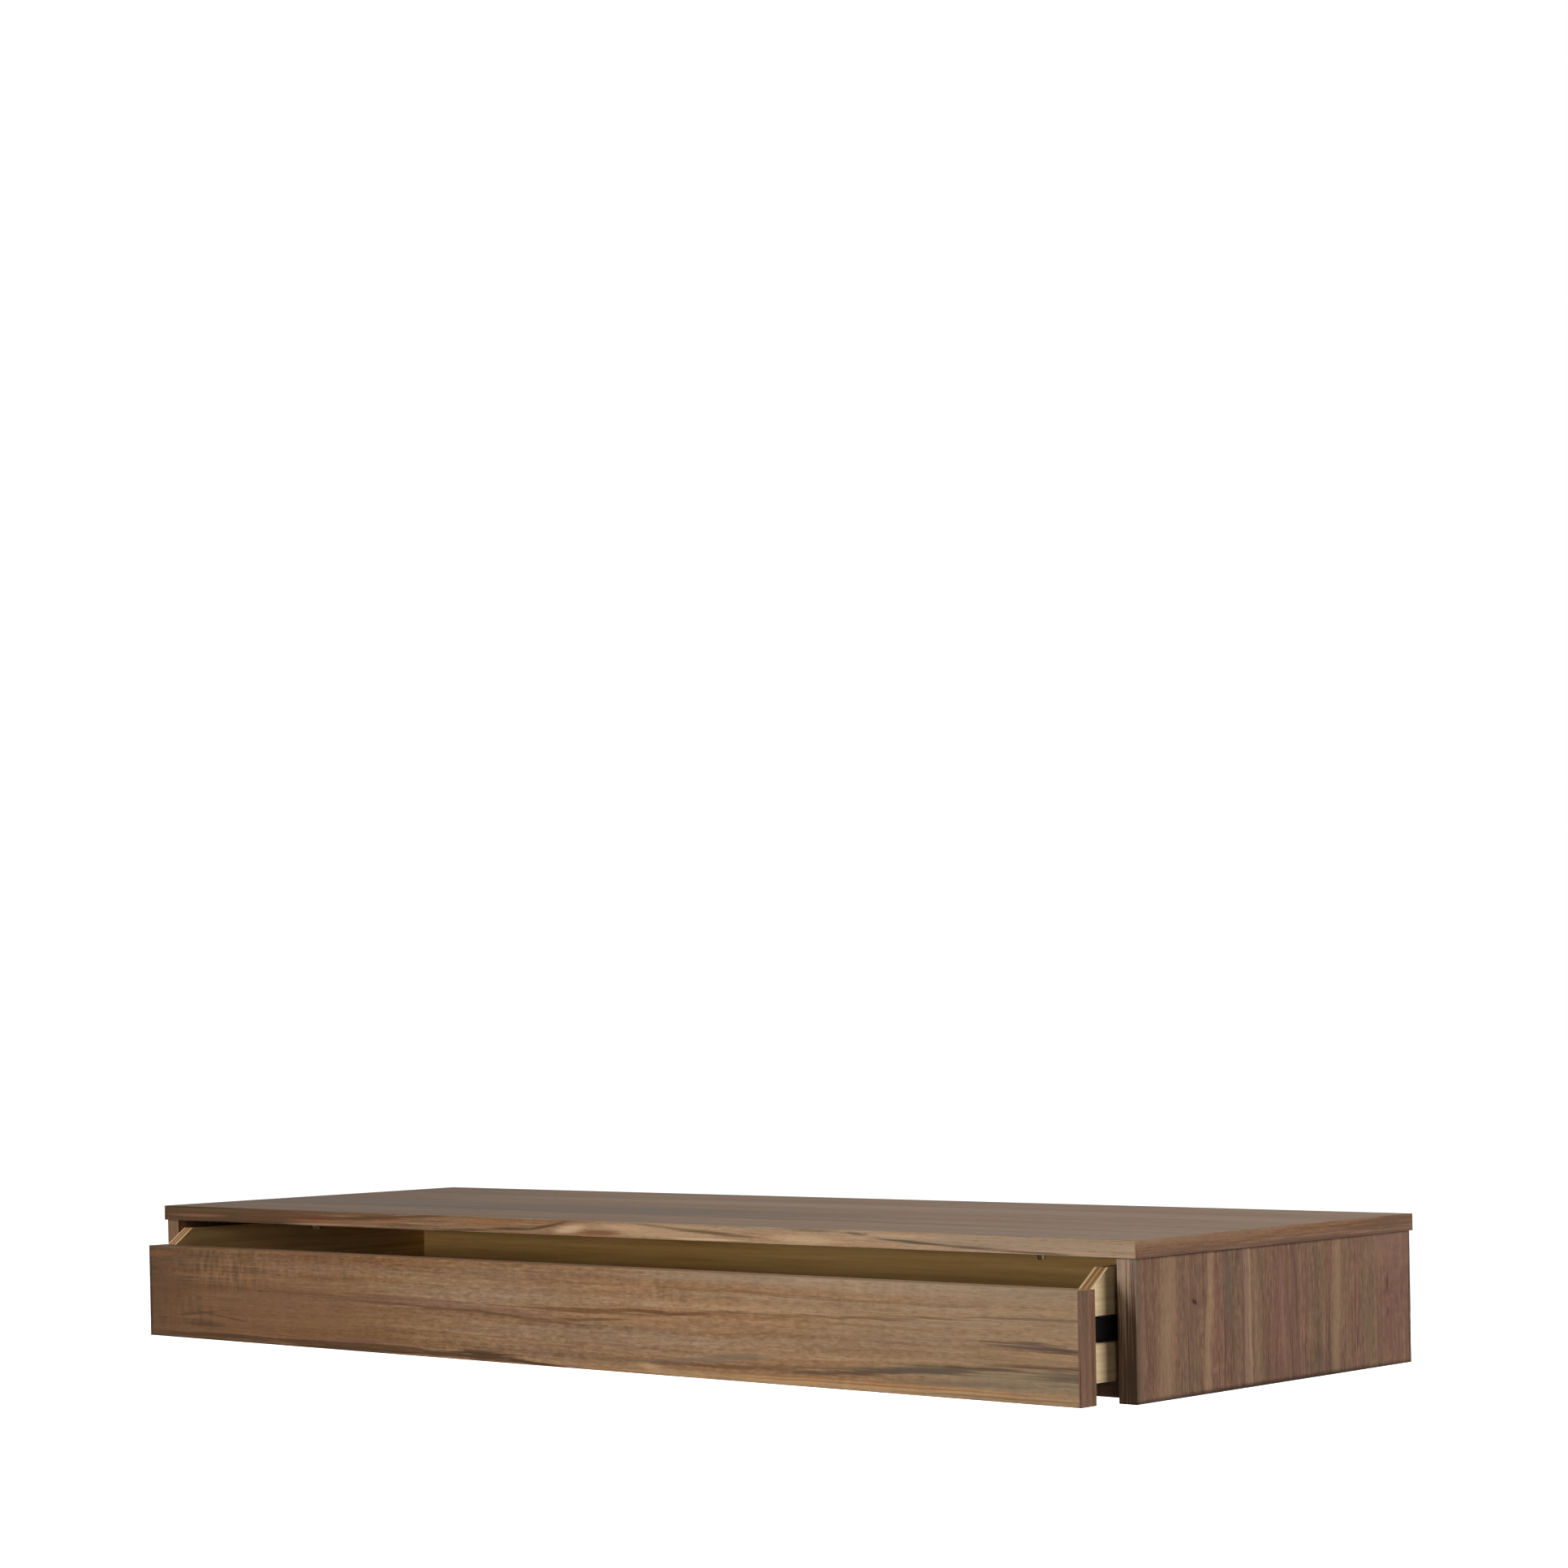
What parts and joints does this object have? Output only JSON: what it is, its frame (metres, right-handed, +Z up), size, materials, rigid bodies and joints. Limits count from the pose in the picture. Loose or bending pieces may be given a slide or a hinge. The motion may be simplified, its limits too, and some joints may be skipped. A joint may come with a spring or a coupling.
{
  "type": "floating nightstand",
  "caption": "Wide, low wall-hung walnut drawer unit: a full-width plywood drawer on ball-bearing slides, a finger gap above its front, and a bevelled wall cleat behind.",
  "frame": {"origin": "middle of the wall cleat's back face, on the wall", "axes": "+X along the cabinet's width to its right as seen from the room, +Y into the wall, +Z up; the drawer opens along -Y"},
  "size_m": [1.4, 0.49, 0.145],
  "materials": {
    "walnut_top": "satin walnut veneer, grain along the width",
    "walnut_top_edge": "satin walnut edge bands, grain along each edge",
    "walnut_side": "satin walnut veneer, upright grain",
    "walnut_side_edge": "satin walnut edge bands, upright grain",
    "walnut_bottom": "satin walnut veneer, grain along the width",
    "walnut_bottom_edge": "satin walnut edge band, grain along the width",
    "walnut_front": "satin walnut veneer, grain along the width",
    "walnut_front_edge": "satin walnut edge bands, upright grain",
    "birch_plywood": "clear matt lacquer on birch plywood",
    "back_board": "thin board, walnut faced",
    "rail_wood": "planed plywood rails",
    "beech": "bare beech dowels",
    "black_steel": "black coated slide steel",
    "cage_steel": "bright steel ball cage and balls",
    "zinc_steel": "zinc plated",
    "polished_stud": "polished nickel plate",
    "black_rubber": "matt"
  },
  "bodies": {
    "cabinet": {"top_board": "walnut_top", "top_front_band": "walnut_top_edge", "top_left_band": "walnut_top_edge", "top_right_band": "walnut_top_edge", "left_side_panel": "walnut_side", "right_side_panel": "walnut_side", "left_side_band": "walnut_side_edge", "right_side_band": "walnut_side_edge", "bottom_panel": "walnut_bottom", "bottom_band": "walnut_bottom_edge", "back_panel": "back_board", "hanging_rail": "rail_wood", "lower_rail": "rail_wood", "wall_cleat": "rail_wood", "rail_screw_1": "zinc_steel", "rail_screw_2": "zinc_steel", "rail_screw_3": "zinc_steel", "left_stop_stud": "polished_stud", "right_stop_stud": "polished_stud", "top_dowel_left_front": "beech", "top_dowel_left_back": "beech", "top_dowel_right_front": "beech", "top_dowel_right_back": "beech", "bottom_dowel_left_front": "beech", "bottom_dowel_left_back": "beech", "bottom_dowel_right_front": "beech", "bottom_dowel_right_back": "beech", "left_slide_cabinet_member": "black_steel", "right_slide_cabinet_member": "black_steel", "left_slide_bumper": "black_rubber", "right_slide_bumper": "black_rubber", "left_cabinet_slide_screw_front": "zinc_steel", "left_cabinet_slide_screw_back": "zinc_steel", "right_cabinet_slide_screw_front": "zinc_steel", "right_cabinet_slide_screw_back": "zinc_steel"},
    "drawer": {"drawer_front": "walnut_front", "drawer_front_left_band": "walnut_front_edge", "drawer_front_right_band": "walnut_front_edge", "drawer_inner_front": "birch_plywood", "drawer_left_side": "birch_plywood", "drawer_right_side": "birch_plywood", "drawer_back": "birch_plywood", "drawer_bottom": "birch_plywood", "drawer_dowel_left_front": "beech", "drawer_dowel_left_back": "beech", "drawer_dowel_right_front": "beech", "drawer_dowel_right_back": "beech", "front_screw_1": "zinc_steel", "front_screw_2": "zinc_steel", "front_screw_3": "zinc_steel", "front_screw_4": "zinc_steel", "left_slide_drawer_member": "black_steel", "right_slide_drawer_member": "black_steel", "left_drawer_slide_screw_front": "zinc_steel", "left_drawer_slide_screw_back": "zinc_steel", "right_drawer_slide_screw_front": "zinc_steel", "right_drawer_slide_screw_back": "zinc_steel"},
    "left_retainer": {"left_ball_retainer": "cage_steel"},
    "right_retainer": {"right_ball_retainer": "cage_steel"}
  },
  "joints": [
    {"name": "drawer_slide", "type": "slide", "parent": "cabinet", "child": "drawer", "axis": [0, -1, 0], "range_m": [-0.045, 0.22]},
    {"name": "left_retainer_slide", "type": "slide", "parent": "cabinet", "child": "left_retainer", "axis": [0, -1, 0], "range_m": [-0.0225, 0.11]},
    {"name": "right_retainer_slide", "type": "slide", "parent": "cabinet", "child": "right_retainer", "axis": [0, -1, 0], "range_m": [-0.0225, 0.11]}
  ],
  "couplings": [
    {"joint": "left_retainer_slide", "follows": "drawer_slide", "ratio": 0.5},
    {"joint": "right_retainer_slide", "follows": "drawer_slide", "ratio": 0.5}
  ]
}
